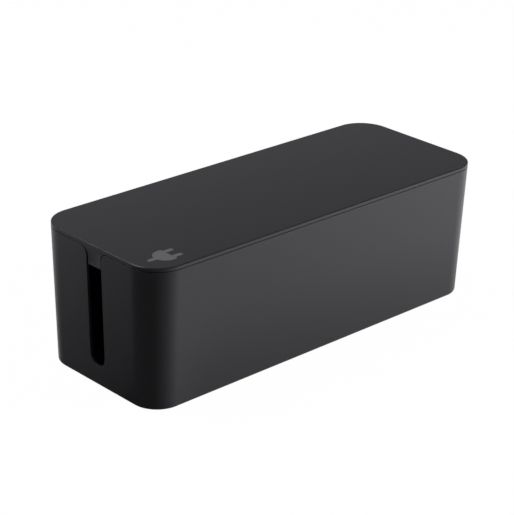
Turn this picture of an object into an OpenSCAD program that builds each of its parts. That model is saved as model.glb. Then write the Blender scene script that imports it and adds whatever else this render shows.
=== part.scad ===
// Cable management box: a drafted tub with a cable slot in each end, a flush lift-off lid
// whose tabs close the slot mouths, and four stuck-on rubber feet.
// Millimetres. X runs along the box, Y across it, Z up. Z = 0 is the surface the feet stand on.

/* [Box] */
// Length of the box, over the lid
box_l = 406; // [260:1:600]
// Width of the box, over the lid
box_w = 155.8; // [120:0.1:260]
// Height of the shell, from its underside to the top of the lid
shell_h = 133.8; // [100:0.1:220]
// Radius of the upright corners, at the lid
corner_r = 29.6; // [18:0.1:45]
// Draft of the side walls, in degrees
draft = 1.8; // [0.5:0.1:3]
// Thickness of the side walls
wall_t = 3; // [2:0.1:4]
// Thickness of the floor
floor_t = 3; // [2.5:0.1:5]
// Radius of the round along the bottom edge
base_edge_r = 2.5; // [1:0.1:4]
// Radius of the fillet inside, where the walls meet the floor
floor_fillet_r = 2; // [1:0.1:6]

/* [Cable slots] */
// Width of a cable slot
slot_w = 19.4; // [12:0.1:30]
// Height of a slot's lowest point above the shell's underside
slot_sill_h = 19.7; // [10:0.1:40]
// Radius of the flare at the slot's mouth
flare_r = 8.5; // [3:0.1:10]

/* [Lid] */
// Height of the lid's outer rim
rim_h = 4; // [3.2:0.1:8]
// Thickness of the lid's panel
panel_t = 2.6; // [2:0.1:3]
// Radius of the round along the lid's top edge
lid_edge_r = 1; // [0.4:0.1:1.5]
// Chamfer on both edges of the parting line
parting_chamfer = 0.3; // [0.1:0.05:0.6]
// Height of a tab, from the top of the lid to its lower edge
tab_h = 20.7; // [14:0.1:35]
// Thickness of a tab
tab_t = 2.4; // [1.6:0.1:3]
// Distance that a tab's lower edge stands in from the end wall's face
tab_set_back = 0.8; // [0:0.1:1.2]
// Gap between a tab and the slot's sides
tab_gap = 1; // [0.5:0.05:2]
// Depth of the locating lip below the parting line
lip_h = 7; // [4:0.1:15]
// Thickness of the locating lip
lip_t = 1.8; // [1.2:0.1:3]
// Clearance between the lip and the tub's walls
lip_gap = 0.5; // [0.3:0.05:1.5]
// Thickness of the ribs under the panel
rib_t = 1.4; // [1:0.1:2.5]
// Depth of the ribs under the panel
rib_h = 4; // [2:0.1:8]
// Number of ribs across the panel
cross_ribs = 5; // [3:2:9]

/* [Feet] */
// Diameter of a rubber foot
foot_d = 14; // [8:0.1:20]
// Height of a rubber foot
foot_h = 2.4; // [2:0.1:4]
// Round along the foot's lower edge
foot_edge_r = 0.6; // [0.3:0.1:1]
// Thickness of the adhesive disc
pad_t = 0.3; // [0.2:0.05:0.6]
// Margin between the adhesive disc and the foot's edge
pad_margin = 0.5; // [0.2:0.1:1.5]
// Depth of the recess that holds a foot
recess_depth = 1.5; // [0.8:0.1:1.6]
// Clearance round a foot in its recess
recess_gap = 0.3; // [0.1:0.05:1]
// Distance from the box's side to a foot's centre
foot_inset = 24; // [20:0.5:45]

/* [Hidden] */

// How far a cutting shape runs past the face it cuts, and a joined shape into its neighbour
over = 1;
// Facets of a round shape in a preview
$fn = 96;

// Heights. The feet and their pads hold the shell's underside, base_z, clear of the surface.
base_z = foot_h + pad_t - recess_depth;
top_z = base_z + shell_h;
rim_z = top_z - rim_h;
floor_z = base_z + floor_t;
panel_z = top_z - panel_t;
tab_z = top_z - tab_h;
lip_z = rim_z - lip_h;

// Plan: a straight-sided core, with everything outside it swept round it
core_l = box_l - 2 * corner_r;
core_w = box_w - 2 * corner_r;

// Slot and tab
slot_r = slot_w / 2;
slot_centre_z = base_z + slot_sill_h + slot_r;
flare_y = slot_r + flare_r;
root_r = flare_r + tab_gap / 2;

// The locating lip stands back from the inside of the walls, and is cut away behind each tab
lip_out = corner_r - wall_t - lip_gap;
lip_in = lip_out - lip_t;
lip_break_w = 2 * (flare_y + lip_gap);

// Ribs join the lip halfway through its thickness
rib_z = panel_z - rib_h;
rib_span_l = core_l + 2 * (lip_in + lip_t / 2);
rib_span_w = core_w + 2 * (lip_in + lip_t / 2);
rib_pitch = rib_span_l / (cross_ribs + 1);
long_rib_y = (rib_span_w / 2 + lip_break_w / 2) / 2;

// Feet
foot_r = foot_d / 2;
pad_r = foot_r - pad_margin;
recess_r = foot_r + recess_gap;
foot_x = box_l / 2 - foot_inset;
foot_y = box_w / 2 - foot_inset;

// How far a drafted wall stands in from the parting line, at height z
function drawn_in(z) = (rim_z - z) * tan(draft);

// Half-section of a drafted block: its first axis is the distance out from the core, its second Z.
// The wall is u_rim out at the parting line. The block stands on low with a round of radius r, and
// ends at high, where the outer corner loses a chamfer.
module drafted_section(u_rim, low, high, r, chamfer = 0) {
    centre_u = u_rim - drawn_in(low) - r * (1 - sin(draft)) / cos(draft);
    foot_of_wall = [centre_u + r * cos(draft), low + r * (1 - sin(draft))];
    top_corner = (chamfer == 0)
        ? [[u_rim - drawn_in(high), high]]
        : [[u_rim - drawn_in(high - chamfer), high - chamfer], [u_rim - drawn_in(high) - chamfer, high]];
    polygon(concat([[0, low], [centre_u, low], foot_of_wall], top_corner, [[0, high]]));
    translate([centre_u, low + r]) circle(r);
}

// Half-section of the lid: panel, rim and locating lip. The panel's edge is rounded above.
module lid_section() {
    polygon([[0, panel_z],
             [lip_in, panel_z],
             [lip_in - lip_h * tan(draft), lip_z],
             [lip_out - lip_h * tan(draft), lip_z],
             [lip_out, rim_z],
             [corner_r - parting_chamfer, rim_z],
             [corner_r, rim_z + parting_chamfer],
             [corner_r, top_z - lid_edge_r],
             [corner_r - lid_edge_r, top_z],
             [0, top_z]]);
    translate([corner_r - lid_edge_r, top_z - lid_edge_r]) circle(lid_edge_r);
}

// Sweeps a half-section round the core: an arc at each corner, and the straight run that follows it
module swept() {
    for (i = [0 : 3]) {
        x = (i == 0 || i == 3) ? core_l / 2 : -core_l / 2;
        y = (i < 2) ? core_w / 2 : -core_w / 2;
        run = (i % 2 == 0) ? core_w : core_l;
        translate([x, y, 0]) rotate([0, 0, 90 * i]) {
            rotate_extrude(angle = 90) children();
            rotate([90, 0, 0]) linear_extrude(run) children();
        }
    }
}

// A filled block: a swept half-section and the core inside it, from low to high
module filled(low, high) {
    translate([-core_l / 2, -core_w / 2, low]) cube([core_l, core_w, high - low]);
    swept() children();
}

// Stands a drawing of the end wall up across the box: its first axis along Y, its second along Z
module through_ends() {
    rotate([90, 0, 90]) linear_extrude(box_l + 2 * over, center = true) children();
}

// Upright drawn on the end wall that spreads into a flare of radius r on either side as it meets
// the parting line. The slot's mouth has this shape, and so has a tab's root.
module flared_upright(half_w, low, r) {
    mouth = half_w + r;
    translate([-half_w, low]) square([2 * half_w, rim_z + over - low]);
    difference() {
        translate([-mouth, rim_z - r]) square([2 * mouth, r + over]);
        for (side = [-1, 1])
            translate([side * mouth, rim_z - r]) circle(r);
    }
}

// Cable slot: a flared upright with a full-round bottom
module slot_shape() {
    flared_upright(slot_r, slot_centre_z, flare_r);
    translate([0, slot_centre_z]) circle(slot_r);
}

module tub() {
    color("#2b2b2d") difference() {
        filled(base_z, rim_z)
            drafted_section(corner_r, base_z, rim_z, base_edge_r, parting_chamfer);
        filled(floor_z, rim_z + over)
            drafted_section(corner_r - wall_t, floor_z, rim_z + over, floor_fillet_r);
        through_ends() slot_shape();
        for (x = [-foot_x, foot_x], y = [-foot_y, foot_y])
            translate([x, y, base_z - over]) cylinder(r = recess_r, h = recess_depth + over);
    }
}

module lid() {
    color("#39393b") {
        difference() {
            filled(panel_z, top_z) lid_section();
            lip_breaks();
        }
        tabs();
        ribs();
    }
}

// The lip stops short of the slots, so that a lead can rise to a tab's lower edge
module lip_breaks() {
    for (side = [-1, 1])
        translate([side * (core_l / 2 + corner_r / 2 + lip_in / 2), 0, (lip_z - over + rim_z) / 2])
            cube([corner_r - lip_in + 2 * over, lip_break_w, rim_z - lip_z + over], center = true);
}

// A tab hangs from each end of the rim. It is flush with the end wall at the parting line, and
// stands further in from it toward its lower edge.
module tabs() {
    intersection() {
        through_ends() intersection() {
            flared_upright(slot_r - tab_gap, tab_z, root_r);
            translate([-flare_y, tab_z]) square([2 * flare_y, rim_z + parting_chamfer - tab_z]);
        }
        for (side = [0, 1]) mirror([side, 0, 0])
            rotate([90, 0, 0]) linear_extrude(2 * flare_y, center = true)
                polygon([[box_l / 2 - drawn_in(tab_z) - tab_t, tab_z - over],
                         [box_l / 2 - drawn_in(tab_z) - tab_set_back, tab_z - over],
                         [box_l / 2 - drawn_in(tab_z) - tab_set_back, tab_z],
                         [box_l / 2, rim_z],
                         [box_l / 2, top_z - lid_edge_r],
                         [box_l / 2 - tab_t, top_z - lid_edge_r],
                         [box_l / 2 - tab_t, rim_z]]);
    }
}

// Stiffening ribs under the panel
module ribs() {
    for (i = [1 : cross_ribs])
        translate([-rib_span_l / 2 + i * rib_pitch - rib_t / 2, -rib_span_w / 2, rib_z])
            cube([rib_t, rib_span_w, rib_h + panel_t / 2]);
    for (side = [-1, 1])
        translate([-rib_span_l / 2, side * long_rib_y - rib_t / 2, rib_z])
            cube([rib_span_l, rib_t, rib_h + panel_t / 2]);
}

// side_x and side_y say which corner of the floor: -1 is left or front, 1 is right or back
module foot(side_x, side_y) {
    color("#1c1c1c") translate([side_x * foot_x, side_y * foot_y, 0])
        rotate_extrude() {
            polygon([[0, 0],
                     [foot_r - foot_edge_r, 0],
                     [foot_r, foot_edge_r],
                     [foot_r, foot_h],
                     [0, foot_h]]);
            translate([foot_r - foot_edge_r, foot_edge_r]) circle(foot_edge_r);
        }
}

module pad(side_x, side_y) {
    color("#b9b4a6") translate([side_x * foot_x, side_y * foot_y, foot_h])
        cylinder(r = pad_r, h = pad_t);
}

tub();
lid();
foot(-1, -1);  // foot_front_left
foot(1, -1);  // foot_front_right
foot(-1, 1);  // foot_back_left
foot(1, 1);  // foot_back_right
pad(-1, -1);  // pad_front_left
pad(1, -1);  // pad_front_right
pad(-1, 1);  // pad_back_left
pad(1, 1);  // pad_back_right
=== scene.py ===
# %% [markdown]
# # A cable management box, dressed for the camera
# The engineering model of this box arrives finished: a tub, a lid and four stuck-on feet, each at
# its real size. This lesson keeps every one of those sizes and gives the pieces what a moulding
# really has: rounded edges, a fine grain, a printed mark, tool marks on the hidden faces.

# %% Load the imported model
import math

import bmesh
import bpy
from mathutils import Matrix, Vector
from mathutils.geometry import tessellate_polygon


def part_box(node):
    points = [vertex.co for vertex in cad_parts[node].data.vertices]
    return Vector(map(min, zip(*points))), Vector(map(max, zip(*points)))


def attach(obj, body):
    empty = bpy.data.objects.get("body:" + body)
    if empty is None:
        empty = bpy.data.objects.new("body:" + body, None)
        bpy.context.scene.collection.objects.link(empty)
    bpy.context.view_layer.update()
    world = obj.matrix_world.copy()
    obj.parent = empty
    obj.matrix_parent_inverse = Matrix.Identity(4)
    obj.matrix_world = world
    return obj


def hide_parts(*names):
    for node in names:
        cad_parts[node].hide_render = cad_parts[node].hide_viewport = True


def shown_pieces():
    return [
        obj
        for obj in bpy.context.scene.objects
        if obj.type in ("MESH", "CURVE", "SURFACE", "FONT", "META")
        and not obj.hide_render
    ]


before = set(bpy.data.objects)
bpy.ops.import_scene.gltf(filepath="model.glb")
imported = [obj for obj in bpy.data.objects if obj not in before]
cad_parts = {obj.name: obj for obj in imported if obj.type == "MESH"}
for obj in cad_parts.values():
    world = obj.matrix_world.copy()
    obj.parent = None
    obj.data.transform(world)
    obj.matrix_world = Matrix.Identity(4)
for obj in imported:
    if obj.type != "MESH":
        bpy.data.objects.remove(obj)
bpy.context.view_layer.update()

# %% [markdown]
# ## Sizes
# Whatever the loaded solids can tell is read from them, so it can't drift away from the
# engineering. A bounding box doesn't show a corner's radius or a wall's thickness. Such a size is
# written out where it is first needed, in millimetres.

# %% Read the big sizes
MM = 0.001
LID_LOW, LID_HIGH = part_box("lid")
TUB_LOW, TUB_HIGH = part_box("tub")
TOP_Z = LID_HIGH.z
TAB_Z = LID_LOW.z
RIM_Z = TUB_HIGH.z
BASE_Z = TUB_LOW.z
print(f"tub from {BASE_Z / MM:.1f} to {RIM_Z / MM:.1f} mm, lid top at {TOP_Z / MM:.1f} mm")

# %% [markdown]
# ## A skin made of patches
# A moulded shell is one closed surface, but it is easiest to think of in patches: this wall, that
# fillet, the band round the slot. Each patch is a grid or a flat fill, and welding the points that
# coincide makes them one skin. The box repeats in all four quarters, so a quarter is modelled and
# reflected twice.

# %% A class that gathers patches
WELD = 0.002 * MM
SMOOTH_BELOW = math.radians(35)


def add_object(name, data):
    made = bpy.data.objects.new(name, data)
    bpy.context.scene.collection.objects.link(made)
    return made


def add_mesh(name, bm):
    """Makes an object of a bmesh, which is then done with."""
    mesh = bpy.data.meshes.new(name)
    bm.to_mesh(mesh)
    bm.free()
    return add_object(name, mesh)


class Skin:
    """Gathers faces by their corner points, and welds them into one closed mesh."""

    def __init__(self):
        self.faces = []

    def face(self, *points):
        self.faces.append([Vector(p) for p in points])

    def grid(self, rows):
        """Four-sided faces between rows that have equally many points."""
        for low, high in zip(rows, rows[1:]):
            for i in range(len(low) - 1):
                self.face(low[i], low[i + 1], high[i + 1], high[i])

    def sweep(self, columns, profile):
        """A grid along columns, with a row at each (out, z) of the profile."""
        self.grid([[column.at(out, z) for column in columns] for out, z in profile])

    def flat(self, outline, holes=()):
        """Fills a flat outline with triangles, leaving its holes open."""
        loops = [[Vector(p) for p in loop] for loop in (outline, *holes)]
        points = [p for loop in loops for p in loop]
        for triangle in tessellate_polygon(loops):
            self.face(*[points[i] for i in triangle])

    def mirror(self, axis):
        """Adds the reflection of everything gathered so far."""
        flip = Matrix.Identity(3)
        flip[axis][axis] = -1
        self.faces += [[flip @ p for p in reversed(face)] for face in self.faces]

    def build(self, name):
        """Welds the faces into an object, smooth except where it turns sharply."""
        bm = bmesh.new()
        for face in self.faces:
            bm.faces.new([bm.verts.new(p) for p in face])
        bmesh.ops.remove_doubles(bm, verts=bm.verts, dist=WELD)
        bmesh.ops.dissolve_degenerate(bm, edges=bm.edges, dist=WELD)
        bmesh.ops.recalc_face_normals(bm, faces=bm.faces)
        loose = sum(not e.is_manifold for e in bm.edges)
        piece = add_mesh(name, bm)
        piece.data.shade_smooth()
        piece.data.set_sharp_from_angle(angle=SMOOTH_BELOW)
        even = piece.modifiers.new("flat_stays_flat", "WEIGHTED_NORMAL")
        even.keep_sharp = True
        print(f"{name}: {len(piece.data.polygons)} faces, {loose} open edges")
        return piece


# %% [markdown]
# ## Lines out from the core
# Seen from above, the box is a rectangle with big round corners. Every point of its walls lies on
# a line that leaves a smaller rectangle, the core, at a right angle. `Column` is such a line, at
# any height. A wall is then a list of columns, and a depth into the wall and a height say the rest.
# The tub's walls lean in by the draft that lets a moulding leave its tool. The lid's rim is upright.

# %% Columns, and the point at a depth and a height
CORNER_R = 29.6 * MM
DRAFT = math.radians(1.8)
CORNER_STEPS = 28
CORE_X = LID_HIGH.x - CORNER_R
CORE_Y = LID_HIGH.y - CORNER_R


class Column:
    """A line that leaves the core at a foot, toward an angle."""

    def __init__(self, foot, angle):
        self.foot = Vector(foot)
        self.out = Vector((math.cos(angle), math.sin(angle)))

    def at(self, out, z):
        """The point that lies `out` from the core, at height z."""
        p = self.foot + out * self.out
        return Vector((p.x, p.y, z))

    def wall(self, depth, z):
        """The point `depth` inside the tub's outer face, at height z."""
        return self.at(CORNER_R - depth - drawn_in(z), z)


def drawn_in(z):
    """How far the draft has brought the tub's wall in, at height z."""
    return max(0.0, RIM_Z - z) * math.tan(DRAFT)


def end_column(y):
    return Column((CORE_X, y), 0)


def side_column(x):
    return Column((x, CORE_Y), math.pi / 2)


def spread(low, high, steps):
    """Evenly spaced numbers from low to high, both included."""
    return [low + (high - low) * i / steps for i in range(steps + 1)]


CORNER = [Column((CORE_X, CORE_Y), a) for a in spread(0, math.pi / 2, CORNER_STEPS)]
print(f"core {2 * CORE_X / MM:.1f} x {2 * CORE_Y / MM:.1f} mm, {len(CORNER)} columns a corner")

# %% [markdown]
# ## Round edges
# No moulded edge is sharp. A bevel modifier could round them, but it stumbles where the straight
# rim runs into the slot's flare. Here the rounding is part of the plan: `Edge` holds a point on
# the sharp edge and the direction that faces out of the plastic there, and a profile of depths and
# drops wraps the plastic's thickness round it.

# %% Edges and their rounded profiles
ROUND_STEPS = 4


class Edge:
    """A point (y, z) on the end wall's edge, and the unit direction (ny, nz) out of the plastic."""

    def __init__(self, y, z, ny, nz):
        self.y, self.z, self.ny, self.nz = y, z, ny, nz

    def point(self, depth, drop):
        """The point `depth` behind the wall's face and `drop` back from the edge."""
        return end_column(self.y - drop * self.ny).wall(depth, self.z - drop * self.nz)


def arc_edge(y, z, r, facing):
    """An edge point on an arc round (y, z). Where that centre lies in the air, r is below 0."""
    ny, nz = math.cos(facing), math.sin(facing)
    return Edge(y + r * ny, z + r * nz, ny, nz)


def quarter(steps):
    """Angles over a quarter turn."""
    return spread(0, math.pi / 2, steps)


def edge_round(r, steps=ROUND_STEPS):
    """(depth, drop) from one face onto the next, round an edge of radius r."""
    return [(r * (1 - math.cos(a)), r * (1 - math.sin(a))) for a in quarter(steps)]


def wrap(thickness, near_r, far_r):
    """(depth, drop) from one face, round its edge, across the wall's end and round to the other."""
    far = [(thickness - depth, drop) for depth, drop in edge_round(far_r)]
    return edge_round(near_r) + far[::-1]


print("a round of 1 mm:", [(round(depth, 2), round(drop, 2)) for depth, drop in edge_round(1)])

# %% [markdown]
# ## The cable slot
# A lead enters the box through a slot in each end wall. The slot's mouth flares, which guides the
# lead in from above, and its foot is a full round. Its edge is described once, for one half: down
# the flare, down the straight side and round to the middle of the foot. The rounding is larger
# along the side, where a lead rubs, and small at the rim, where the lid comes down.

# %% Half of the slot's edge, each point with the radius of its round
SLOT_W = 19.4 * MM
SLOT_SILL = 19.7 * MM
FLARE_R = 8.5 * MM
RIM_ROUND = 0.15 * MM
SLOT_ROUND = 0.4 * MM
FLARE_STEPS = 10
SLOT_SIDE_STEPS = 5
SLOT_FOOT_STEPS = 14

SLOT_R = SLOT_W / 2
SLOT_CENTRE_Z = BASE_Z + SLOT_SILL + SLOT_R
FLARE_Y = SLOT_R + FLARE_R
FLARE_Z = RIM_Z - FLARE_R


def slot_round(share):
    return RIM_ROUND + (SLOT_ROUND - RIM_ROUND) * share


slot_edge = [
    (arc_edge(FLARE_Y, FLARE_Z, FLARE_R, math.pi / 2 + a), slot_round(math.sin(a)))
    for a in quarter(FLARE_STEPS)
]
slot_edge += [
    (Edge(SLOT_R, z, -1, 0), SLOT_ROUND)
    for z in spread(FLARE_Z, SLOT_CENTRE_Z, SLOT_SIDE_STEPS)[1:-1]
]
slot_edge += [
    (arc_edge(0, SLOT_CENTRE_Z, -SLOT_R, math.pi - a), slot_round(math.cos(a)))
    for a in quarter(SLOT_FOOT_STEPS)
]
print(len(slot_edge), "points down half of the slot's edge")

# %% [markdown]
# ## The tub
# A tray, 130 mm deep, moulded in one piece. Its walls are the same thickness all over, so the
# inside is the outside moved in by that thickness. A boolean cut could open the slots, but it
# leaves long thin triangles that shade badly. Here each row of a wall starts at the slot's edge and
# runs round the corner to the middle of the long side, so all of it stays in four-sided faces.

# %% Both faces of the tub's wall
WALL = 3.0 * MM
BESIDE_FLARE_STEPS = 3
LONG_SIDE_STEPS = 4
BELOW_SLOT_STEPS = 3

RIM = [end_column(y) for y in spread(FLARE_Y, CORE_Y, BESIDE_FLARE_STEPS)[:-1]]
RIM += CORNER
RIM += [side_column(x) for x in spread(CORE_X, 0, LONG_SIDE_STEPS)[1:]]
WHOLE_RIM = [end_column(0)] + RIM


def wall_rows(depth, low):
    """Rows of one face of the wall, from the rim down to height low."""
    rows = []
    for edge, r in slot_edge:
        first = edge.point(depth, r)
        rows.append([first] + [c.wall(depth, first.z) for c in RIM])
    sill = rows[-1][0].z
    for z in spread(sill, low, BELOW_SLOT_STEPS)[1:]:
        rows.append([c.wall(depth, z) for c in WHOLE_RIM])
    return rows


print(len(RIM), "columns from the slot's mouth to the middle of the long side")

# %% [markdown]
# A drafted wall meets the flat floor in a fillet, outside and inside. The outer one lets the tub
# stand without a sharp rim, and the inner one is where a moulding would crack if it were sharp.

# %% Walls, fillets and the band round the wall's top edge
FLOOR = 3.0 * MM
BASE_EDGE_R = 2.5 * MM
FLOOR_FILLET_R = 2.0 * MM
FLOOR_Z = BASE_Z + FLOOR


def fillet(depth, low, r):
    """(out, z) of the round between a drafted wall and the flat at height low."""
    out = CORNER_R - depth - drawn_in(low) - r * (1 - math.sin(DRAFT)) / math.cos(DRAFT)
    return [
        (out + r * math.cos(a), low + r - r * math.sin(a))
        for a in spread(DRAFT, math.pi / 2, 2 * ROUND_STEPS)
    ]


tub = Skin()
outer_fillet = fillet(0, BASE_Z, BASE_EDGE_R)
inner_fillet = fillet(WALL, FLOOR_Z, FLOOR_FILLET_R)
tub.grid(wall_rows(0, outer_fillet[0][1]))
tub.grid(wall_rows(WALL, inner_fillet[0][1]))
tub.grid([[edge.point(*step) for step in wrap(WALL, r, r)] for edge, r in slot_edge])
wall_top = wrap(WALL, RIM_ROUND, RIM_ROUND)
tub.grid([[c.wall(depth, RIM_Z - drop) for depth, drop in wall_top] for c in RIM])
tub.sweep(WHOLE_RIM, outer_fillet)
tub.sweep(WHOLE_RIM, inner_fillet)
print(len(tub.faces), "faces in a quarter of the tub's walls")

# %% [markdown]
# ## Floor, recesses and tool marks
# Both sides of the floor are flat, with shapes sunk into them: the recesses that hold the feet,
# the dimple round the point where the plastic was fed in, and inside, the faint discs left by the
# pins that pushed the moulding out. A stepped ring of circles makes each of them, and a flat fill
# with holes joins them up. The dimple lies in the middle of the floor, so a quarter of it is made.

# %% Rings, and a recess turned from them
RING_STEPS = 32
FULL_TURN = 2 * math.pi


def ring(centre, r, z, turn=FULL_TURN):
    """Points on a circle or on a part of it. A whole circle ends on the point it starts from."""
    return [
        Vector((centre[0] + r * math.cos(a), centre[1] + r * math.sin(a), z))
        for a in spread(0, turn, round(RING_STEPS * turn / FULL_TURN))
    ]


def sunk(skin, centre, profile, turn=FULL_TURN):
    """Adds a turned recess given as (radius, z), closes its floor, and returns its mouth."""
    rings = [ring(centre, r, z, turn) for r, z in profile]
    skin.grid(rings)
    mouth, floor = rings[0], rings[-1]
    if turn == FULL_TURN:
        skin.face(*floor[:-1])
        return mouth[:-1]
    skin.face(*floor, (*centre, profile[-1][1]))
    return mouth


print(f"{RING_STEPS} sides to a circle")

# %% The underside, with a foot's recess and the gate's dimple
FOOT_LOW, FOOT_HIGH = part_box("foot_back_right")
FOOT_AT = (FOOT_LOW + FOOT_HIGH) / 2
FOOT_R = (FOOT_HIGH.x - FOOT_LOW.x) / 2
RECESS_GAP = 0.3 * MM
RECESS_DEPTH = 1.5 * MM
MOUTH_ROUND = 0.25 * MM
GATE_R = 6 * MM
GATE_DEPTH = 0.5 * MM
GATE_STUB_R = 1.5 * MM
GATE_STUB_H = 0.3 * MM

recess_r = FOOT_R + RECESS_GAP
recess = [(recess_r + MOUTH_ROUND, BASE_Z)]
recess += [(recess_r, BASE_Z + MOUTH_ROUND), (recess_r, BASE_Z + RECESS_DEPTH)]
foot_mouth = sunk(tub, FOOT_AT.xy, recess)

gate_z = BASE_Z + GATE_DEPTH
gate = [(GATE_R, BASE_Z), (GATE_R - GATE_DEPTH, gate_z), (GATE_STUB_R, gate_z)]
gate += [(GATE_STUB_R, gate_z - GATE_STUB_H)]
gate_mouth = sunk(tub, (0, 0), gate, math.pi / 2)

underside = [c.at(*outer_fillet[-1]) for c in WHOLE_RIM]
tub.flat(underside + list(reversed(gate_mouth)), [foot_mouth])
print(f"recesses {2 * recess_r / MM:.1f} mm across for the feet")

# %% The floor inside, with the marks of the ejector pins
PIN_R = 3.5 * MM
PIN_DEPTH = 0.12 * MM
PINS = [(52 * MM, 34 * MM), (150 * MM, 34 * MM)]

pin_mouths = [
    sunk(tub, pin, [(PIN_R, FLOOR_Z), (PIN_R - PIN_DEPTH, FLOOR_Z - PIN_DEPTH)]) for pin in PINS
]
inside = [c.at(*inner_fillet[-1]) for c in WHOLE_RIM]
tub.flat(inside + [Vector((0, 0, FLOOR_Z))], pin_mouths)

tub.mirror(0)
tub.mirror(1)
tub_shell = tub.build("tub_shell")
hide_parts("tub")
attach(tub_shell, "base")

# %% [markdown]
# ## The lid
# A shallow cover whose rim sits flush on the tub. Three things hang from it: a tab at each end
# that shuts the mouth of the cable slot, a locating lip just inside the walls, and thin ribs that
# keep the large panel flat. The printed mark stands on the panel, so the panel itself lies lower
# than the lid's full height by the thickness of the ink.

# %% Heights in the lid
PRINT_T = 0.03 * MM
PANEL = 2.6 * MM
SHADOW_GAP = 0.4 * MM
LID_TOP = TOP_Z - PRINT_T
PANEL_Z = TOP_Z - PANEL
LIFTED_Z = RIM_Z + SHADOW_GAP
print(f"the rim shows {(LID_TOP - LIFTED_Z) / MM:.2f} mm high")

# %% [markdown]
# ## The lines of the lid's plan
# The lid's skin reuses the columns of the tub, and adds one wherever a tab or a rib needs a line of
# its own. A tab leaves the rim in a fillet that follows the slot's flare at a small gap. The upper
# part of that fillet lies above the tub's rim, in the fine gap between lid and tub.

# %% Where a tab leaves the rim
TAB_GAP = 1.0 * MM
TAB_COLUMNS = 6
ROOT_STEPS = 3
ROOT_R = FLARE_R + TAB_GAP / 2
ROOT_Y = SLOT_R - TAB_GAP + ROOT_R
ROOT_Z = LIFTED_Z - ROOT_R


def root_point(a):
    """The fillet's edge at the angle `a` past its top."""
    return arc_edge(ROOT_Y, ROOT_Z, -ROOT_R, a - math.pi / 2)


AT_RIM = math.acos((RIM_Z - ROOT_Z) / ROOT_R)
above_rim = spread(0, AT_RIM, ROOT_STEPS)
root_ys = [root_point(a).y for a in reversed(above_rim)]
MOUTH = TAB_COLUMNS + ROOT_STEPS
print(len(root_ys), "columns where a tab leaves the rim")

# %% Lines of the plan, each with whether a rib fills the strip that starts there
LIP_GAP = 0.5 * MM
LIP_T = 1.8 * MM
RIB_T = 1.4 * MM
CROSS_RIBS = 5
LIP_OUT = CORNER_R - WALL - LIP_GAP
LIP_IN = LIP_OUT - LIP_T
LIP_END_Y = FLARE_Y + LIP_GAP

rib_span_x = CORE_X + LIP_IN + LIP_T / 2
rib_span_y = CORE_Y + LIP_IN + LIP_T / 2
rib_pitch = 2 * rib_span_x / (CROSS_RIBS + 1)
long_rib_y = (rib_span_y + LIP_END_Y) / 2
cross_rib_xs = [i * rib_pitch for i in range(CROSS_RIBS // 2 + 1)]

end_lines = [(root_ys[0] * i / TAB_COLUMNS, False) for i in range(TAB_COLUMNS)]
end_lines += [(y, False) for y in root_ys]
end_lines += [(LIP_END_Y, False), ((LIP_END_Y + long_rib_y) / 2, False)]
end_lines += [(long_rib_y - RIB_T / 2, True), (long_rib_y + RIB_T / 2, False), (CORE_Y, False)]
side_lines = []
for x in cross_rib_xs:
    side_lines += [(max(0.0, x - RIB_T / 2), True), (x + RIB_T / 2, False)]
    side_lines += [(x + rib_pitch / 2, False)] if x < cross_rib_xs[-1] else []
side_lines += [(CORE_X, False)]
print(f"{CROSS_RIBS} ribs across, {rib_pitch / MM:.1f} mm apart, and 2 along")

# %% [markdown]
# ## The lid's top and rim
# The top meets the rim in a small round that catches a thin line of light. Below it the rim drops
# to the parting line. There it turns under with a small round, which faces the one on the tub's top
# edge. The two make the fine groove that is seen along the whole box.

# %% Top and rim
LID_EDGE_R = 1.0 * MM
UNDER_ROUND = 0.3 * MM

end_columns = [end_column(y) for y, _ in end_lines]
side_columns = [side_column(x) for x, _ in reversed(side_lines)]
lid_columns = end_columns[:-1] + CORNER + side_columns[1:]

lid = Skin()
lid.flat([c.at(CORNER_R - LID_EDGE_R, LID_TOP) for c in lid_columns] + [Vector((0, 0, LID_TOP))])
top_round = edge_round(LID_EDGE_R, 2 * ROUND_STEPS)
rim_profile = [(CORNER_R - drop, LID_TOP - depth) for depth, drop in top_round]
rim_profile += [(CORNER_R, (LID_TOP + RIM_Z) / 2), (CORNER_R, LIFTED_Z + UNDER_ROUND)]
lid.sweep(lid_columns, rim_profile)
print(len(lid_columns), "columns round a quarter of the lid")

# %% [markdown]
# ## The tabs
# At the ends the rim runs on down into the tab. The tab's own edge is rounded more and more on its
# way down, because a lead rubs past it. Its face steps back behind the end wall, and eases into
# that step so that no crease shows below the rim. A shallow dish in the face gives a finger hold.

# %% Half of a tab's edge, each point with the radii of its two rounds
TAB_ROUND = 0.4 * MM
TAB_END_ROUND = 0.9 * MM
TAB_ROUND_INSIDE = 0.3 * MM
TAB_CORNER_R = 0.9 * MM
TAB_SIDE_STEPS = 10

tab_side_y = ROOT_Y - ROOT_R
corner_y = tab_side_y - TAB_CORNER_R
corner_z = TAB_Z + TAB_CORNER_R
tab_root = [(root_point(a), UNDER_ROUND, 0) for a in above_rim]
tab_edge = [
    (root_point(a), UNDER_ROUND + (TAB_ROUND - UNDER_ROUND) * share, TAB_ROUND_INSIDE * share)
    for a, share in zip(spread(AT_RIM, math.pi / 2, FLARE_STEPS), spread(0, 1, FLARE_STEPS))
]
tab_edge += [
    (Edge(tab_side_y, z, 1, 0), TAB_ROUND, TAB_ROUND_INSIDE)
    for z in spread(ROOT_Z, corner_z, TAB_SIDE_STEPS)[1:]
]
tab_edge += [
    (arc_edge(corner_y, corner_z, TAB_CORNER_R, -a),
     TAB_ROUND + (TAB_END_ROUND - TAB_ROUND) * math.sin(a), TAB_ROUND_INSIDE)
    for a in quarter(ROUND_STEPS)[1:]
]
face_shares = [y / ROOT_Y for y, _ in end_lines[: MOUTH + 1]]
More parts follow.
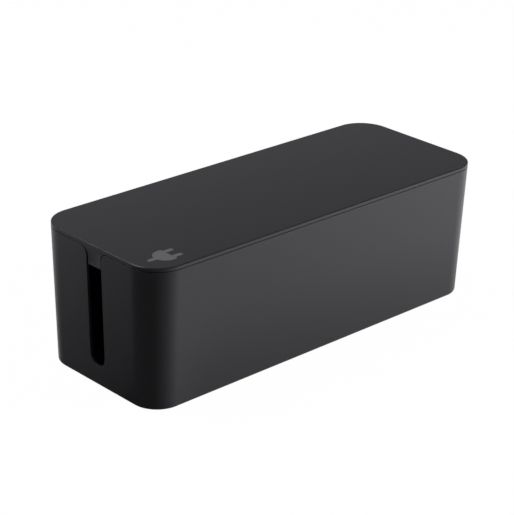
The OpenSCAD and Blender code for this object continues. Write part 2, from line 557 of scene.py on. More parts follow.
tab_end = [
    (Edge(corner_y * share, TAB_Z, 0, -1), TAB_END_ROUND, TAB_ROUND_INSIDE)
    for share in reversed(face_shares[:-1])
]
whole_edge = tab_root[:-1] + tab_edge
print(f"a tab {2 * tab_side_y / MM:.1f} mm wide")

# %% A tab's face, the band round its thickness, and its back
TAB_T = 2.4 * MM
TAB_SET_BACK = 0.8 * MM
TAB_BLEND = 12.0 * MM
FINGER_DISH = 0.5 * MM
DISH_START = 0.5 * MM
DISH_FADE = 3.0 * MM


def tab_inset(z):
    """How far the tab's face stands in from the end wall's, at height z."""
    share = min(1.0, max(0.0, RIM_Z - z) / TAB_BLEND)
    return share * (2 - share) * TAB_SET_BACK


def dish(share, z):
    """Depth of the finger dish at that share of the way to the tab's side, at height z."""
    near_top = min(1, max(0, (RIM_Z - DISH_START - z) / DISH_FADE))
    near_end = min(1, max(0, (z - TAB_Z - TAB_END_ROUND) / DISH_FADE))
    return FINGER_DISH * (1 - share**2) * near_top * near_end


def tab_row(edge, drop):
    """Points from the middle of the tab's face to one point of its edge, all at one height."""
    inset = tab_inset(edge.z)
    last = edge.point(inset, drop)
    return [end_column(last.y * f).wall(inset + dish(f, last.z), last.z) for f in face_shares]


def tab_band(edge, near_r, far_r):
    """Points round the tab's thickness, from its face to its back."""
    inset = tab_inset(edge.z)
    return [edge.point(inset + d, drop) for d, drop in wrap(TAB_T - inset, near_r, far_r)]


lid.grid([tab_row(edge, r) for edge, r, _ in whole_edge])
behind = [c.wall(TAB_T, RIM_Z) for c in end_columns[:TAB_COLUMNS]]
lid.flat(behind + [edge.point(TAB_T, r) for edge, _, r in tab_edge + tab_end])
lid.grid([tab_band(*point) for point in whole_edge + tab_end])
print(f"at its foot a tab stands {tab_inset(TAB_Z) / MM:.1f} mm back")

# %% [markdown]
# Past the tab the rim turns under, and behind the fine gap it steps down onto the tub's rim.

# %% The rim turned under
turned_under = [(CORNER_R - depth, LIFTED_Z + drop) for depth, drop in edge_round(UNDER_ROUND)]
turned_under += [(CORNER_R - TAB_T, LIFTED_Z), (CORNER_R - TAB_T, RIM_Z)]
lid.sweep(lid_columns[MOUTH:], turned_under)
lid.grid([[edge.point(TAB_T, 0) for edge, *_ in tab_root],
          [end_column(edge.y).wall(TAB_T, RIM_Z) for edge, *_ in tab_root]])
print(f"the lid bears on a strip {(WALL - TAB_T) / MM:.1f} mm wide")

# %% [markdown]
# ## The locating lip
# The lip is a drafted blade with a rounded lower edge, which keeps the lid from sliding about. It
# stops on either side of each tab, to leave room for a lead.

# %% Rim underside and lip
LIP_H = 7.0 * MM
LIP_ROUND = 0.5 * MM
RIB_H = 4.0 * MM
LIP_Z = RIM_Z - LIP_H
RIB_Z = PANEL_Z - RIB_H
LIP_FOOT = LIP_Z + LIP_ROUND
LIP_SLOPE = LIP_H * math.tan(DRAFT) / (PANEL_Z - LIP_Z)


def lip_inside(z):
    return LIP_IN - (PANEL_Z - z) * LIP_SLOPE


def lip_outside(z):
    return LIP_OUT - (RIM_Z - z) * math.tan(DRAFT)


before_lip = lid_columns[: MOUTH + 2]
along_lip = lid_columns[MOUTH + 1:]
under = [(CORNER_R - TAB_T, RIM_Z), (LIP_OUT, RIM_Z)]
lid.sweep(lid_columns, under)
lid.sweep(before_lip, [under[1], (lip_inside(RIM_Z), RIM_Z)])

lower_edge = edge_round(LIP_ROUND)
blade = [(LIP_OUT, RIM_Z), (lip_outside(LIP_FOOT), LIP_FOOT)]
blade += [(lip_outside(LIP_Z) - depth, LIP_Z + drop) for depth, drop in lower_edge[1:]]
blade += [(lip_inside(LIP_Z) + drop, LIP_Z + depth) for depth, drop in lower_edge[:-1]]
blade += [(lip_inside(z), z) for z in (LIP_FOOT, RIB_Z)]
lid.sweep(along_lip, blade)
lid.face(*[along_lip[0].at(*step) for step in blade + [(lip_inside(RIM_Z), RIM_Z)]])
print(f"a lip {LIP_H / MM:.1f} mm deep, {LIP_GAP / MM:.1f} mm clear of the wall")

# %% [markdown]
# ## The ribs
# The panel's underside is a field of two levels: the panel itself and the ribs that stand on it.
# So it is built cell by cell. A cell is level, and wherever two neighbours differ in level a small
# wall closes the step. First come the strips between the lip and the core, then the core.

# %% Strips between the lip and the core
def level(rib):
    return RIB_Z if rib else PANEL_Z


strip_ribs = [rib for _, rib in end_lines[:-1]] + [False] * CORNER_STEPS
strip_ribs += [rib for _, rib in reversed(side_lines[:-1])]
for i, rib in enumerate(strip_ribs):
    a, b = lid_columns[i : i + 2]
    z = level(rib)
    lid.face(a.at(0, z), b.at(0, z), b.at(lip_inside(z), z), a.at(lip_inside(z), z))
    if not rib:
        down_to = [PANEL_Z, RIM_Z] + ([RIB_Z] if i > MOUTH else [])
        lid.sweep((a, b), [(lip_inside(h), h) for h in down_to])
for i, (a, b) in enumerate(zip(strip_ribs, strip_ribs[1:])):
    if a != b:
        c = lid_columns[i + 1]
        lid.face(c.at(0, PANEL_Z), c.at(lip_inside(PANEL_Z), PANEL_Z),
                 c.at(lip_inside(RIM_Z), RIM_Z), c.at(lip_inside(RIB_Z), RIB_Z), c.at(0, RIB_Z))
print(len(strip_ribs), "strips,", sum(strip_ribs), "of them under a rib")

# %% The core, cell by cell
ys = [y for y, _ in end_lines]
xs = [x for x, _ in side_lines]
is_rib = [[across or along for _, along in end_lines[:-1]] for _, across in side_lines[:-1]]
for i, (x0, x1) in enumerate(zip(xs, xs[1:])):
    for j, (y0, y1) in enumerate(zip(ys, ys[1:])):
        z = level(is_rib[i][j])
        lid.face((x0, y0, z), (x1, y0, z), (x1, y1, z), (x0, y1, z))
        if i + 2 < len(xs) and is_rib[i][j] != is_rib[i + 1][j]:
            lid.grid([[(x1, y0, h), (x1, y1, h)] for h in (RIB_Z, PANEL_Z)])
        if j + 2 < len(ys) and is_rib[i][j] != is_rib[i][j + 1]:
            lid.grid([[(x0, y1, h), (x1, y1, h)] for h in (RIB_Z, PANEL_Z)])

lid.mirror(0)
lid.mirror(1)
lid_shell = lid.build("lid_shell")
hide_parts("lid")
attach(lid_shell, "cover")

# %% [markdown]
# ## Feet and their adhesive
# Four rubber bumpers, each with a disc of adhesive film between it and the floor of its recess.
# Both are turned: a profile of radius and height is spun about the foot's own axis. The Screw
# modifier would do that too, but the rings that made the recesses give foot and recess the same
# number of sides. A foot is pressed from a sheet, so its lower edge is round and its face has a
# shallow dish.

# %% Turned pieces
FOOT_EDGE_R = 0.6 * MM
FOOT_TOP_R = 0.15 * MM
FOOT_DISH_R = 3.6 * MM
FOOT_DISH_DEPTH = 0.15 * MM
FILM_EDGE = 0.05 * MM


def turned(name, centre, profile):
    """Spins a profile of (radius, z) about an upright axis, and closes both its ends flat."""
    skin = Skin()
    rings = [ring(centre, r, z) for r, z in profile]
    skin.grid(rings)
    skin.face(*rings[0][:-1])
    skin.face(*rings[-1][:-1])
    return skin.build(name)


def foot_profile(r, low, high):
    """(radius, z) from the dish in the foot's face, round both edges, to its glued side."""
    dished = [(FOOT_DISH_R, low + FOOT_DISH_DEPTH), (FOOT_DISH_R + FOOT_DISH_DEPTH, low)]
    lower = [(r - drop, low + depth) for depth, drop in edge_round(FOOT_EDGE_R)]
    upper = [(r - depth, high - drop) for depth, drop in edge_round(FOOT_TOP_R)]
    return dished + lower + upper


for corner in ("front_left", "front_right", "back_left", "back_right"):
    low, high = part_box("foot_" + corner)
    centre = (low + high) / 2
    foot = turned("bumper_" + corner, centre.xy, foot_profile((high.x - low.x) / 2, low.z, high.z))
    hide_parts("foot_" + corner)
    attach(foot, "base")

    low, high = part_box("pad_" + corner)
    r = (high.x - low.x) / 2
    profile = [(r - FILM_EDGE, low.z), (r, low.z + FILM_EDGE)]
    profile += [(r, high.z - FILM_EDGE), (r - FILM_EDGE, high.z)]
    film = turned("adhesive_" + corner, centre.xy, profile)
    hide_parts("pad_" + corner)
    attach(film, "base")

# %% [markdown]
# ## The printed mark
# A small grey mark is pad-printed near one corner of the lid. Here it is a plain mains plug: a
# round-backed body, two pins and the start of a lead. It could be painted on with a mask in the
# material, but ink has a thickness, a few hundredths of a millimetre. So the mark is a very thin
# solid that stands on the panel, and its outline stays crisp from any distance.

# %% The plug's outline
BODY_L = 15.0 * MM
BODY_W = 22.0 * MM
PIN_L = 9.5 * MM
PIN_W = 4.4 * MM
PIN_SPREAD = 6.0 * MM
LEAD_W = 4.4 * MM
LEAD_L = 8.0 * MM
ARC_STEPS = 12
QUARTER_TURN = math.pi / 2


def arc(x, y, r, start, stop):
    return [(x + r * math.cos(a), y + r * math.sin(a)) for a in spread(start, stop, ARC_STEPS)]


front_x = BODY_L / 2
back_x = -front_x
shoulder = BODY_W / 2
body_x = back_x + shoulder
body = arc(body_x, 0, shoulder, QUARTER_TURN, 3 * QUARTER_TURN)
join_x = body_x - math.sqrt(shoulder**2 - (LEAD_W / 2) ** 2)

outline = [p for p in body if p[1] > LEAD_W / 2] + [(join_x, LEAD_W / 2)]
outline += arc(back_x - LEAD_L + LEAD_W / 2, 0, LEAD_W / 2, QUARTER_TURN, 3 * QUARTER_TURN)
outline += [(join_x, -LEAD_W / 2)] + [p for p in body if p[1] < -LEAD_W / 2]
outline += [(front_x, -shoulder)]
for pin_y in (-PIN_SPREAD, PIN_SPREAD):
    outline += [(front_x, pin_y - PIN_W / 2)]
    outline += arc(front_x + PIN_L - PIN_W / 2, pin_y, PIN_W / 2, -QUARTER_TURN, QUARTER_TURN)
    outline += [(front_x, pin_y + PIN_W / 2)]
outline += [(front_x, shoulder)]
print(f"a plug {(LEAD_L + BODY_L + PIN_L) / MM:.1f} mm long")

# %% Give the outline the ink's thickness
MARK_AT = (-173.6 * MM, -54.6 * MM)


def at_height(z, outline):
    return [(x, y, z) for x, y in outline]


printed = [(MARK_AT[0] + x, MARK_AT[1] + y) for x, y in outline]
low, high = at_height(LID_TOP, printed), at_height(TOP_Z, printed)
mark = Skin()
mark.flat(low)
mark.flat(high)
mark.grid([low + low[:1], high + high[:1]])
printed_mark = mark.build("printed_plug_mark")
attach(printed_mark, "cover")

# %% [markdown]
# ## Shader sums in plain Python
# A procedural finish is arithmetic on patterns: take a noise, scale it, add a constant. `Socket`
# wraps an output so that the arithmetic can be written as Python, and `Finish` owns a material.
# Its `node` method makes any node from its type, its settings and what goes into its sockets.

# %% A number that a shader computes
class Socket:
    """Wraps a node's output, so that + - * / and a few named sums work on it."""

    def __init__(self, finish, output):
        self.finish, self.output = finish, output

    def maths(self, operation, *values):
        settings = {"operation": operation}
        return self.finish.node("ShaderNodeMath", settings, dict(enumerate(values)))

    def __add__(self, other):
        return self.maths("ADD", self, other)

    def __radd__(self, other):
        return self.maths("ADD", other, self)

    def __sub__(self, other):
        return self.maths("SUBTRACT", self, other)

    def __rsub__(self, other):
        return self.maths("SUBTRACT", other, self)

    def __mul__(self, other):
        return self.maths("MULTIPLY", self, other)

    def __rmul__(self, other):
        return self.maths("MULTIPLY", other, self)

    def __truediv__(self, other):
        return self.maths("DIVIDE", self, other)

    def __rtruediv__(self, other):
        return self.maths("DIVIDE", other, self)

    def most(self, other):
        """The larger of the two."""
        return self.maths("MAXIMUM", self, other)

    def rise(self, low, high):
        """0 below low, 1 above high, and smooth in between."""
        settings = {"interpolation_type": "SMOOTHSTEP"}
        sockets = {"Value": self, "From Min": low, "From Max": high}
        return self.finish.node("ShaderNodeMapRange", settings, sockets)


# %% A material, or the world
class Finish:
    """Owns a node tree, and has a short way of writing each node that the finishes need."""

    def __init__(self, name, owner=None):
        self.owner = owner or bpy.data.materials.new(name)
        self.owner.use_nodes = True
        self.tree = self.owner.node_tree
        self.tree.nodes.clear()

    def node(self, kind, settings=None, sockets=None, out=0):
        """Makes a node, sets it up, fills its sockets, and returns one of its outputs."""
        made = self.tree.nodes.new(kind)
        for name, value in (settings or {}).items():
            if name == "stops":
                self.stops(made.color_ramp, value)
            else:
                setattr(made, name, value)
        for name, value in (sockets or {}).items():
            if isinstance(value, Socket):
                self.tree.links.new(value.output, made.inputs[name])
            else:
                made.inputs[name].default_value = value
        return Socket(self, made.outputs[out]) if made.outputs else None

    @staticmethod
    def stops(ramp, stops):
        """Fills a colour ramp with (position, colour) pairs."""
        while len(ramp.elements) < len(stops):
            ramp.elements.new(1)
        for element, (position, colour) in zip(ramp.elements, stops):
            element.position, element.color = position, colour

    def place(self):
        """Where a point lies on its piece, in metres. It goes along when the piece moves."""
        return self.node("ShaderNodeTexCoord", out="Object")

    def xyz(self, place):
        split = self.node("ShaderNodeSeparateXYZ", sockets={0: place})
        return [Socket(self, output) for output in split.output.node.outputs]

    def noise(self, size, detail=2.0, roughness=0.5, distortion=0.0):
        """A cloud pattern from 0 to 1 whose blobs are about `size` metres across."""
        sockets = {"Vector": self.place(), "Scale": 1 / size, "Detail": detail}
        sockets |= {"Roughness": roughness, "Distortion": distortion}
        return self.node("ShaderNodeTexNoise", sockets=sockets)

    def blend(self, factor, first, second):
        """The colour between two colours, which are the Mix node's sockets 6 and 7."""
        settings = {"data_type": "RGBA"}
        sockets = {"Factor": factor, 6: first, 7: second}
        return self.node("ShaderNodeMix", settings, sockets, out=2)

    def bump(self, height, depth, strength):
        sockets = {"Height": height, "Distance": depth, "Strength": strength}
        return self.node("ShaderNodeBump", sockets=sockets)

    def surface(self, shader):
        """Sends a shader to the output, and returns the material or the world."""
        kind = "World" if isinstance(self.owner, bpy.types.World) else "Material"
        self.node(f"ShaderNodeOutput{kind}", sockets={"Surface": shader})
        return self.owner

    def principled(self, **sockets):
        named = {name.replace("_", " "): value for name, value in sockets.items()}
        return self.surface(self.node("ShaderNodeBsdfPrincipled", sockets=named))


def grey(value, tint=0.0):
    """A grey of that brightness, a little toward violet where tint is above 0."""
    return (value * (1 + 0.2 * tint), value, value * (1 + tint), 1)


# %% [markdown]
# ## Black moulded plastic
# The box is black ABS with a fine, even texture that was spark-eroded into the tool. Three things
# make it read as that. The texture itself is a bump far smaller than a millimetre, made of coarser
# pores and a finer grain. Broad, faint clouds in the gloss come from the plastic having flowed in
# from one point. And the base colour stays a touch above black, as the pigment in real plastic does.

# %% The plastic of the tub and of the lid
PLASTIC_IOR = 1.54
SHINE_TINT = (0.955, 0.945, 1.0, 1)
PLASTIC_ROUGHNESS = 0.34
TUB_GREY = 0.0118
LID_GREY = 0.0125
# The clouds: their size, and how far they change the colour, its tint and the gloss
FLOW_SIZE = 90 * MM
FLOW_SHADE = 0.08
FLOW_TINTS = (0.13, 0.15)
FLOW_GLOSS = 0.05
# The grain: its size and depth, the pores' part in it, and how far they change the gloss
GRAIN_SIZE = 0.45 * MM
GRAIN_DEPTH = 0.012 * MM
GRAIN_STRENGTH = 0.3
PORE_SHARE = 0.7
PORE_GLOSS = 0.06


def moulded_plastic(name, base):
    plastic = Finish(name)
    flow = plastic.noise(FLOW_SIZE, detail=3.0, distortion=0.6)
    pores = plastic.noise(GRAIN_SIZE, detail=3.0, roughness=0.6)
    fine = plastic.noise(GRAIN_SIZE / 3, detail=1.0)
    grain = pores * PORE_SHARE + fine * (1 - PORE_SHARE)
    darker = grey(base * (1 - FLOW_SHADE), FLOW_TINTS[0])
    paler = grey(base * (1 + FLOW_SHADE), FLOW_TINTS[1])
    return plastic.principled(
        Base_Color=plastic.blend(flow, darker, paler),
        Roughness=PLASTIC_ROUGHNESS + (flow - 0.5) * FLOW_GLOSS + (pores - 0.5) * PORE_GLOSS,
        IOR=PLASTIC_IOR,
        Specular_Tint=SHINE_TINT,
        Normal=plastic.bump(grain, GRAIN_DEPTH, GRAIN_STRENGTH),
    )


tub_shell.data.materials.append(moulded_plastic("tub_plastic_finish", TUB_GREY))
lid_shell.data.materials.append(moulded_plastic("lid_plastic_finish", LID_GREY))
print("a grain of", GRAIN_SIZE / MM, "mm on tub and lid")

# %% [markdown]
# ## Rubber
# Rubber is duller than the plastic, and its slightly tacky skin picks up pale dust. The dust is a
# noise that only counts above a threshold, so that it lies in patches.

# %% The feet's rubber
RUBBER_GREY = 0.011
RUBBER_ROUGHNESS = 0.72
DUST = (0.05, 0.047, 0.042, 1)
DUST_SIZE = 1.2 * MM
DUST_COVER = 0.35
DUST_ROUGHENS = 0.15
SKIN_SIZE = 0.25 * MM

rubber = Finish("foot_rubber_finish")
dust = rubber.noise(DUST_SIZE, detail=4.0, roughness=0.7)
dusty = dust.rise(low=0.55, high=0.8) * DUST_COVER
rubber_finish = rubber.principled(
    Base_Color=rubber.blend(dusty, grey(RUBBER_GREY), DUST),
    Roughness=RUBBER_ROUGHNESS + dust * DUST_ROUGHENS,
    Normal=rubber.bump(rubber.noise(SKIN_SIZE), depth=0.02 * MM, strength=0.5),
)
print("rubber with dust in patches of", DUST_SIZE / MM, "mm")

# %% [markdown]
# ## Adhesive film
# The film is cream, and small bubbles are trapped under it. A Voronoi pattern has such cells, and
# its distance to the nearest cell wall makes each of them bulge.

# %% The discs' film
FILM_DARKER = (0.60, 0.57, 0.49, 1)
FILM_PALER = (0.66, 0.64, 0.57, 1)
FILM_ROUGHNESS = 0.35
CLOUD_SIZE = 2 * MM
CLOUD_ROUGHENS = 0.2
BUBBLE_SIZE = 1.0 * MM

film = Finish("pad_adhesive_finish")
cells = {"Vector": film.place(), "Scale": 1 / BUBBLE_SIZE}
bubbles = film.node("ShaderNodeTexVoronoi", {"feature": "DISTANCE_TO_EDGE"}, cells)
cloud = film.noise(CLOUD_SIZE)
film_finish = film.principled(
    Base_Color=film.blend(cloud, FILM_DARKER, FILM_PALER),
    Roughness=FILM_ROUGHNESS + cloud * CLOUD_ROUGHENS,
    Normal=film.bump(bubbles, depth=0.02 * MM, strength=0.4),
)
print("film with bubbles of", BUBBLE_SIZE / MM, "mm")

# %% [markdown]
# ## Ink
# The ink is a matt grey. It is uneven where the soft printing pad pressed less, and the screen of
# the printing plate leaves a faint fine pattern in it.

# %% The mark's ink, and the small finishes on their pieces
INK_DARKER = grey(0.085, 0.05)
INK_PALER = grey(0.10, 0.05)
INK_ROUGHNESS = 0.55
PRESSED_SIZE = 3 * MM
SCREEN_SIZE = 0.3 * MM
SCREEN_ROUGHENS = 0.08

ink = Finish("mark_ink_finish")
pressed = ink.noise(PRESSED_SIZE, detail=3.0)
screen = ink.noise(SCREEN_SIZE, detail=1.0)
ink_finish = ink.principled(
    Base_Color=ink.blend(pressed, INK_DARKER, INK_PALER),
    Roughness=INK_ROUGHNESS + screen * SCREEN_ROUGHENS,
    Normal=ink.bump(screen, depth=0.01 * MM, strength=0.3),
)

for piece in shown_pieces():
    if piece.name.startswith("bumper_"):
        piece.data.materials.append(rubber_finish)
    elif piece.name.startswith("adhesive_"):
        piece.data.materials.append(film_finish)
printed_mark.data.materials.append(ink_finish)

# %% [markdown]
# ## The camera
# It looks down on the box by 24 degrees, and from 44 degrees to the left of its long side, so that
# the top, one side and one end all show. The lens is long, so the far end is hardly smaller.
# The camera's axes are worked out first, and its matrix is simply those axes and its place. Three
# rotation angles would do as well, but they hide which way the picture's edges run.

# %% Place the camera
CAMERA_TURN = math.radians(-43.62)
CAMERA_RISE = math.radians(23.768)
CAMERA_ROLL = math.radians(1.456)
CAMERA_AWAY = 1688.774 * MM
AIM = (-9.447 * MM, -1.727 * MM)
PICTURE_SIDE = 515
FOCAL_PX = 1831.912
SENSOR = 36.0
NEAREST = 0.05
FARTHEST = 50.0

back = Vector((
    math.sin(CAMERA_TURN) * math.cos(CAMERA_RISE),
    -math.cos(CAMERA_TURN) * math.cos(CAMERA_RISE),
    math.sin(CAMERA_RISE),
))
level_right = Vector((0, 0, 1)).cross(back).normalized()
level_up = back.cross(level_right)
right = math.cos(CAMERA_ROLL) * level_right + math.sin(CAMERA_ROLL) * level_up
up = -math.sin(CAMERA_ROLL) * level_right + math.cos(CAMERA_ROLL) * level_up
middle = Vector((0, 0, (TOP_Z + BASE_Z) / 2))
eye = middle + AIM[0] * right + AIM[1] * up + CAMERA_AWAY * back

camera = add_object("camera", bpy.data.cameras.new("camera"))
camera.data.sensor_width = SENSOR
camera.data.lens = FOCAL_PX * SENSOR / PICTURE_SIDE
camera.data.clip_start = NEAREST
camera.data.clip_end = FARTHEST
camera.matrix_world = Matrix.Translation(eye) @ Matrix((right, up, back)).transposed().to_4x4()
bpy.context.scene.camera = camera
print(f"lens {camera.data.lens:.1f} mm, {eye.length:.2f} m away")

# %% [markdown]
# ## The floor
# On a white product page the background is plain white and the shadow is only a hint. The floor
# here is pale paper that takes the lamps' light and the box's shadow. The camera sees that paper
# through a plain white of strength 1, which leaves a trace of it. What the box mirrors is the paper
# under a thin glow that only reflections see, a painted reflection that goes from grey on the left
# to white on the right, so that the long side brightens toward its far end.

# %% A flat piece of the set
def sheet(name, points):
    """One flat face that belongs to the set and not to the object."""
    bm = bmesh.new()
    bm.faces.new([bm.verts.new(p) for p in points])
    made = add_mesh(name, bm)
    return made


FLOOR_SIZE = 6.0
# A hair below the feet, so that the two flats never coincide
BELOW_FEET = 0.02 * MM
half = FLOOR_SIZE / 2
corners = [(-half, -half), (half, -half), (half, half), (-half, half)]
paper_floor = sheet("paper_floor", at_height(-BELOW_FEET, corners))
print(f"a floor of {FLOOR_SIZE:.0f} by {FLOOR_SIZE:.0f} m")

# %% Paper under a painted glow that only reflections see
PAPER_DARKER = grey(0.80)
PAPER_PALER = grey(0.84)
FIBRE_SIZE = 4 * MM
# The plain white's share in what the camera sees, and the painted glow's share in what the box
# mirrors
WHITE_SEEN = 0.985
REFLECTED_GLOW = 0.34
# The painted glow's grey on the left, and where it starts and ends to pale, in metres along the box
REFLECTED_GLOW_LEFT = 0.68
REFLECTED_GLOW_FROM = -0.03
REFLECTED_GLOW_TO = 0.25

paper = Finish("paper_finish")
fibres = paper.noise(FIBRE_SIZE, detail=4.0)
pale = paper.blend(fibres, PAPER_DARKER, PAPER_PALER)
lit = paper.node("ShaderNodeBsdfDiffuse", sockets={"Color": pale})
dim, white = (
    paper.node("ShaderNodeEmission", sockets={"Color": grey(shade), "Strength": 1.0})
    for shade in (REFLECTED_GLOW_LEFT, 1.0)
)
rays = paper.node("ShaderNodeLightPath").output.node.outputs
seen, glossy, through = (
    Socket(paper, rays[f"Is {kind} Ray"]) for kind in ("Camera", "Glossy", "Transmission")
)
x, _, _ = paper.xyz(paper.place())
# Painted reflection: what reflections see of the floor pales from grey to white along the box
paleness = seen.most(x.rise(REFLECTED_GLOW_FROM, REFLECTED_GLOW_TO))
reflected_glow = paper.node("ShaderNodeMixShader", sockets={0: paleness, 1: dim, 2: white})
share = (seen * WHITE_SEEN).most(glossy.most(through) * REFLECTED_GLOW)
paper_floor.data.materials.append(
    paper.surface(paper.node("ShaderNodeMixShader", sockets={0: share, 1: lit, 2: reflected_glow}))
)
print(f"the camera sees {1 - WHITE_SEEN:.1%} of the paper itself")

# %% [markdown]
# ## Cards that shape the reflections
# A black box shows almost nothing but reflections, so they are arranged as carefully as the light.
# A studio stands grey cards round such a thing, and so does this set. The cards are left out of
# the picture, of the light and of the shadows: only reflections see them. Their greys are painted
# reflections, and some of their brightness is a painted glow.

# %% What a card is
CARD_TINT = 0.03
CARD_WHITE = 0.97
# How much of a floor card's grey glows by itself: painted light
CARD_GLOW = 0.2


def card_colour(finish, shade):
    """A grey of that brightness, a shade cooler than neutral."""
    return finish.blend(shade, grey(0.0), grey(CARD_WHITE, CARD_TINT))


def lit_and_glowing_paint(finish, shade):
    """Grey paint for a card on the floor. A part of it glows, a painted light like the glow over the
    paper.
    """
    colour = card_colour(finish, shade)
    return finish.principled(
        Base_Color=colour,
        Roughness=0.9,
        Specular_IOR_Level=0.1,
        Emission_Color=colour,
        Emission_Strength=CARD_GLOW,
    )


def glowing_paint(finish, shade):
    """Paint that shows its shade whatever lamp it faces."""
    return finish.principled(
        Base_Color=(0, 0, 0, 1),
        Roughness=1.0,
        Specular_IOR_Level=0.0,
        Emission_Color=card_colour(finish, shade),
        Emission_Strength=1.0,
    )


def card(name, points, paint):
    """A sheet that only reflections see."""
    made = sheet(name, points)
    made.visible_camera = made.visible_diffuse = made.visible_shadow = False
    made.visible_transmission = False
    made.data.materials.append(paint)
    return made


# %% [markdown]
# ## A fan round the near corner
# The corner nearest the camera goes from black on its left to grey on its right. A fan of grey
# lies round it, dark on the left and pale on the right, and the corner mirrors it: its greys are a
# painted reflection.
# A round corner turns a ray twice as far as its own surface turns, but close to the box the ray
# hasn't travelled that far round yet. The fan's shading allows for that, so the corner looks the
# same from its top to its foot. An object's coordinates and an arctangent give the direction.

# %% Directions round the near corner
NEAR_CORNER = (-CORE_X, -CORE_Y)
BASE_R = CORNER_R - drawn_in(BASE_Z)


def away(angle, r):
    """A point at distance r from the corner's centre, in a direction counted from -X toward -Y."""
    a = math.radians(angle)
    return (NEAR_CORNER[0] - r * math.cos(a), NEAR_CORNER[1] - r * math.sin(a))


def at_wall(angle):
    """The point in that direction where the box's wall meets the floor."""
    past_corner = math.radians(max(-angle, angle - 90, 0))
    return away(angle, BASE_R / math.cos(past_corner))


print(f"the near corner's foot has a radius of {BASE_R / MM:.1f} mm")

# %% The fan
CARD_REACH = 1.2
FAN_LIFT = 0.4 * MM
FAN_STEPS = 24
# Painted brightness of the fan, by direction, in degrees from -X toward -Y
FAN = [(-34, 0.02), (40, 0.02), (57, 0.08), (87, 0.26), (102, 0.44), (119, 0.68), (131, 0.82)]
# The direction in which a ray leaves the corner straight out, as a share of a turn
STRAIGHT_OUT = 46.5 / 360

fan_paint = Finish("fan_card_paint")
x, y, _ = fan_paint.xyz(fan_paint.place())
left, front = NEAR_CORNER[0] - x, NEAR_CORNER[1] - y
square = left * left + front * front
reach = square.maths("SQRT", square)
turn = left.maths("ARCTAN2", front, left) / FULL_TURN
turn = STRAIGHT_OUT + (turn - STRAIGHT_OUT) / (1 - BASE_R / 2 / reach)
# A ramp runs from 0 to 1, so half a turn is added to keep every direction above 0
stops = [(0.5 + angle / 360, grey(shade)) for angle, shade in FAN]
shade = fan_paint.node("ShaderNodeValToRGB", {"stops": stops}, {"Fac": turn + 0.5})

directions = spread(FAN[0][0], FAN[-1][0], FAN_STEPS)
fan_outline = [at_wall(a) for a in directions]
fan_outline += [away(a, CARD_REACH) for a in reversed(directions)]
card("fan_card", at_height(FAN_LIFT, fan_outline), lit_and_glowing_paint(fan_paint, shade))
print(f"the fan spreads over {FAN[-1][0] - FAN[0][0]} degrees")

# %% [markdown]
# ## A card beside the end
# The end face mirrors the floor to its left, so a card lies there as a painted reflection. It pales
# toward the back and toward the box.

# %% The side card
SIDE_CARD_LIFT = 0.2 * MM
SIDE_CARD_BACK_Y = 0.3
SIDE_CARD_ANGLES = (FAN[0][0], -60, -90)
# Painted brightness beside the box, and how it changes per metre toward the back and per metre
# outward
SIDE_SHADE = 0.1
SIDE_SHADE_BACK = 1.05
SIDE_SHADE_OUT = -0.47

side_paint = Finish("side_card_paint")
x, y, _ = side_paint.xyz(side_paint.place())
outward = -LID_HIGH.x - x
shade = SIDE_SHADE + y * SIDE_SHADE_BACK + outward * SIDE_SHADE_OUT
side_outline = [(-CORE_X - BASE_R, SIDE_CARD_BACK_Y), at_wall(SIDE_CARD_ANGLES[0])]
side_outline += [away(a, CARD_REACH) for a in SIDE_CARD_ANGLES]
card("side_card", at_height(SIDE_CARD_LIFT, side_outline), lit_and_glowing_paint(side_paint, shade))
print("the side card ends", SIDE_CARD_BACK_Y, "m behind the box's middle")

# %% [markdown]
# ## A card behind
# The top mirrors what stands low behind the box. A card stands there that glows by itself, pale at
# its foot and dark at its upper edge, a painted reflection. The top's near edge mirrors a higher
# part of it than the far edge does, and so the top darkens toward the camera. The card ends low
# enough to leave the lamp above free, because the lid's round edge mirrors that lamp as a thin
# bright line.

# %% The back card
BACK_CARD_Y = 0.45
BACK_CARD_LEFT = -1.0
BACK_CARD_RIGHT = 1.6
BACK_CARD_TOP = 0.52
# Painted brightness of its glow at its foot, and how it changes per metre up and per metre to the
# right
BACK_SHADE = 0.587
BACK_SHADE_UP = -0.92
BACK_SHADE_RIGHT = 0.02

back_paint = Finish("back_card_paint")
x, _, z = back_paint.xyz(back_paint.place())
shade = BACK_SHADE + z * BACK_SHADE_UP + x * BACK_SHADE_RIGHT
back_outline = [(BACK_CARD_LEFT, 0), (BACK_CARD_RIGHT, 0)]
back_outline += [(BACK_CARD_RIGHT, BACK_CARD_TOP), (BACK_CARD_LEFT, BACK_CARD_TOP)]
card("back_card", [(x, BACK_CARD_Y, z) for x, z in back_outline], glowing_paint(back_paint, shade))
print(f"the back card is {BACK_CARD_TOP} m high")

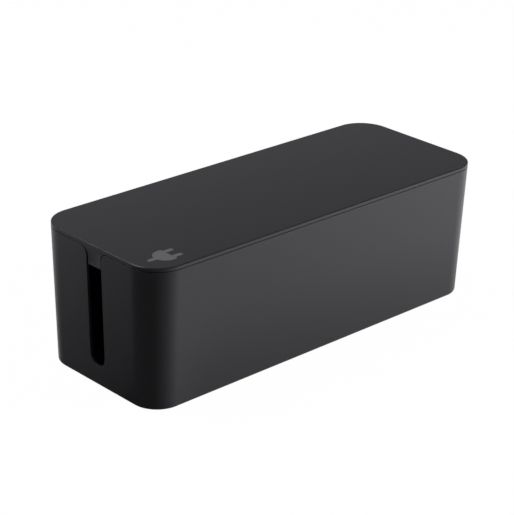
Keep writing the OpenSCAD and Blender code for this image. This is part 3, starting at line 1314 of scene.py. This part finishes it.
# %% [markdown]
# ## Light
# A soft box hangs above, behind the box and to the left. The lid's round edge mirrors it as a thin
# bright line along the end, and it is narrow, so that the line fades out at the near corner.
# The other two are hidden from reflections. A wide one overhead softens the light on the paper. A
# low one stands to the right, in front, and brightens the paper there: the long side mirrors that
# paper, and so it brightens slowly toward the right.

# %% Three soft boxes
BOX_MIDDLE = (0, 0, 0.07)


def softbox(name, place, size, watts):
    """An area lamp that faces the box's middle."""
    lamp = bpy.data.lights.new(name, "AREA")
    lamp.shape = "RECTANGLE"
    lamp.size, lamp.size_y = size
    lamp.energy = watts
    made = add_object(name, lamp)
    made.location = place
    made.rotation_mode = "QUATERNION"
    made.rotation_quaternion = (Vector(place) - Vector(BOX_MIDDLE)).to_track_quat("Z", "Y")
    made.visible_camera = False
    return made


softbox("softbox_above", place=(-0.7, 0.84, 1.6), size=(1.2, 0.7), watts=16)
wide = softbox("softbox_wide", place=(-0.5, 0.6, 1.6), size=(1.2, 1.2), watts=8.5)
low = softbox("softbox_right", place=(1.1, -1.0, 0.6), size=(0.7, 0.5), watts=29.5)
wide.visible_glossy = low.visible_glossy = False
print("lamps:", [lamp.name for lamp in bpy.data.lights])

# %% [markdown]
# ## The room's faint light
# Beyond the floor and the cards there is a room, grey low down and darker overhead. It fills the
# shadows a little, and the box's far corners mirror it.

# %% The world
ROOM_LOW = grey(0.287, 0.035)
ROOM_HIGH = grey(0.10)
# Where the walls start and end to darken, as the upward part of the direction
DARKENS_FROM = 0.3
DARKENS_TO = 0.6

room = bpy.data.worlds.new("room")
bpy.context.scene.world = room
glow = Finish("room", room)
upward = glow.xyz(glow.node("ShaderNodeTexCoord", out="Generated"))[2]
walls = glow.blend(upward.rise(DARKENS_FROM, DARKENS_TO), ROOM_LOW, ROOM_HIGH)
glow.surface(glow.node("ShaderNodeBackground", sockets={"Color": walls, "Strength": 1.0}))
bpy.context.scene.view_settings.view_transform = "Standard"
print("view transform:", bpy.context.scene.view_settings.view_transform)
